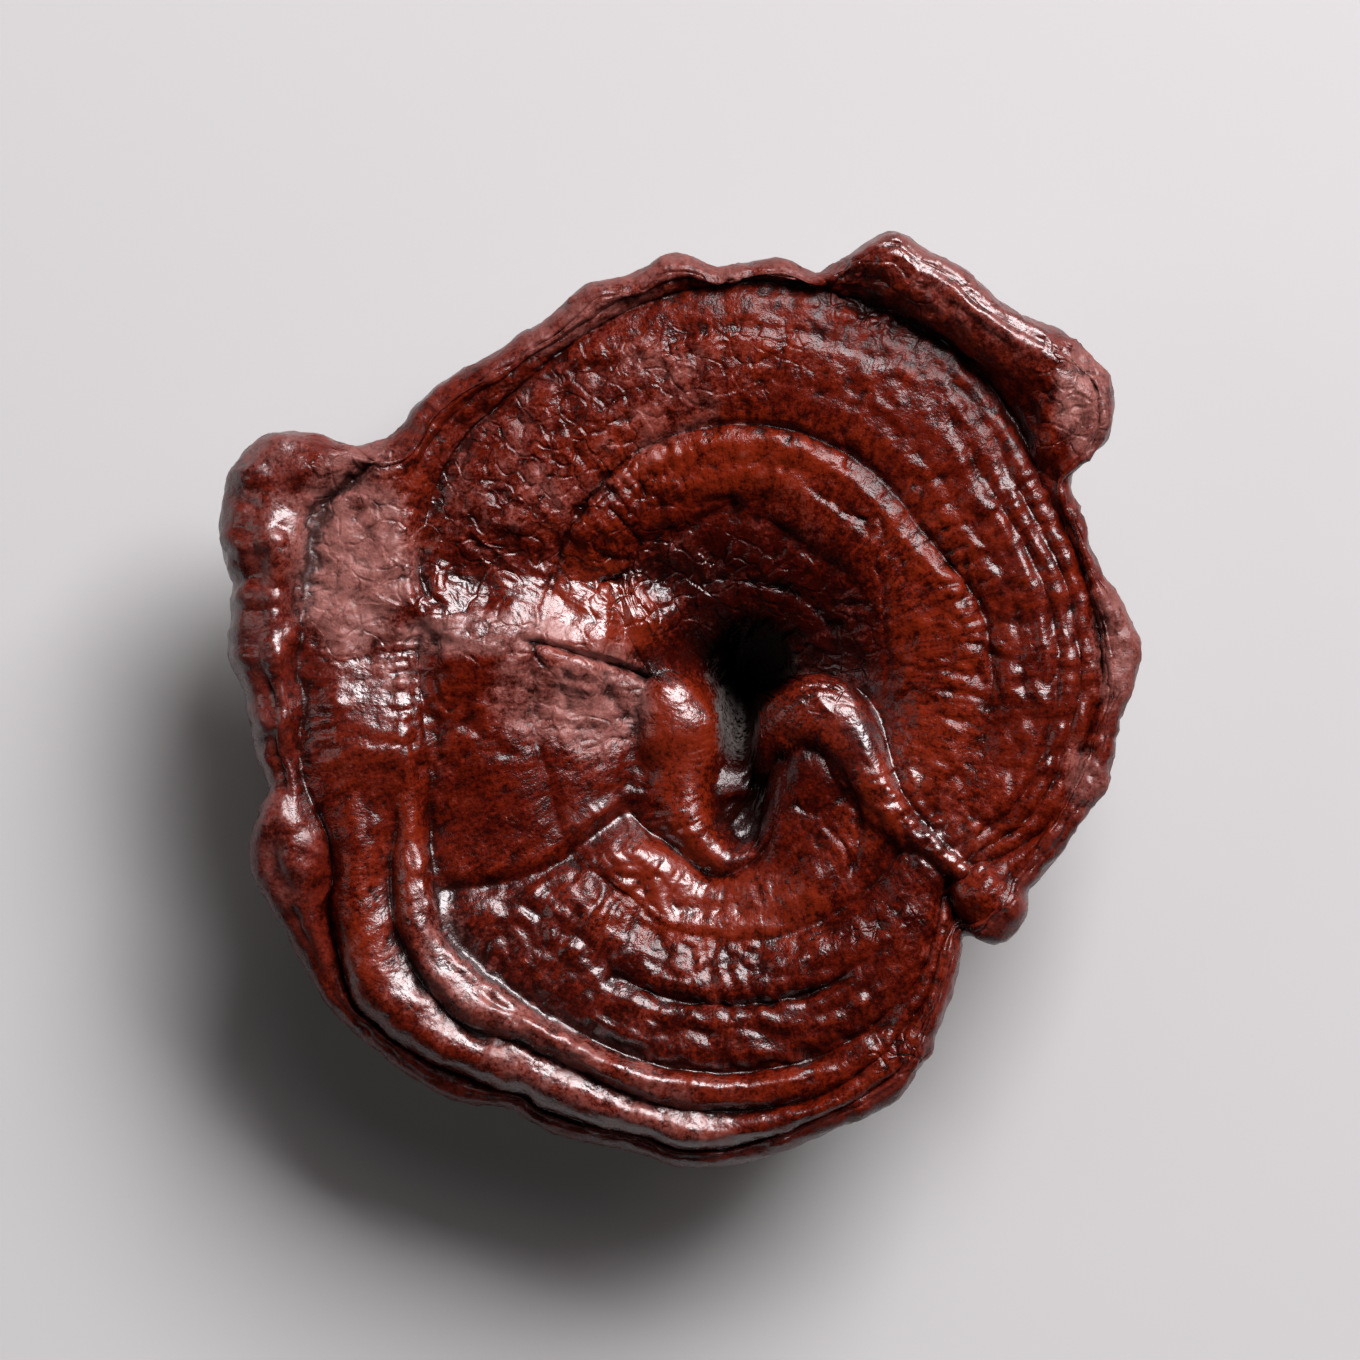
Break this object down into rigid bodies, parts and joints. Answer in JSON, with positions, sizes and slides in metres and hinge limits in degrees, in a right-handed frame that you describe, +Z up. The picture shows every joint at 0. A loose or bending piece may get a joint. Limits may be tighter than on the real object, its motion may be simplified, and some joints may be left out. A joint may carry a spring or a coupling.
{
  "type": "reishi mushroom",
  "caption": "Dried lacquered reishi mushroom: a lobed, funnel-shaped woody cap with concentric rolls and folds, on a short stem cut off flat.",
  "frame": {"origin": "centre of the bounding box on the plane of the stem's flat cut", "axes": "+Z up out of the cap's upper face, +Y towards the picture's top edge, +X towards its right edge"},
  "size_m": [0.1324, 0.1352, 0.0409],
  "materials": {
    "lacquered_cap": "glossy natural lacquer, mahogany red-brown, duller on the margin"
  },
  "bodies": {
    "root": {"reishi_mushroom": "lacquered_cap"}
  },
  "joints": []
}
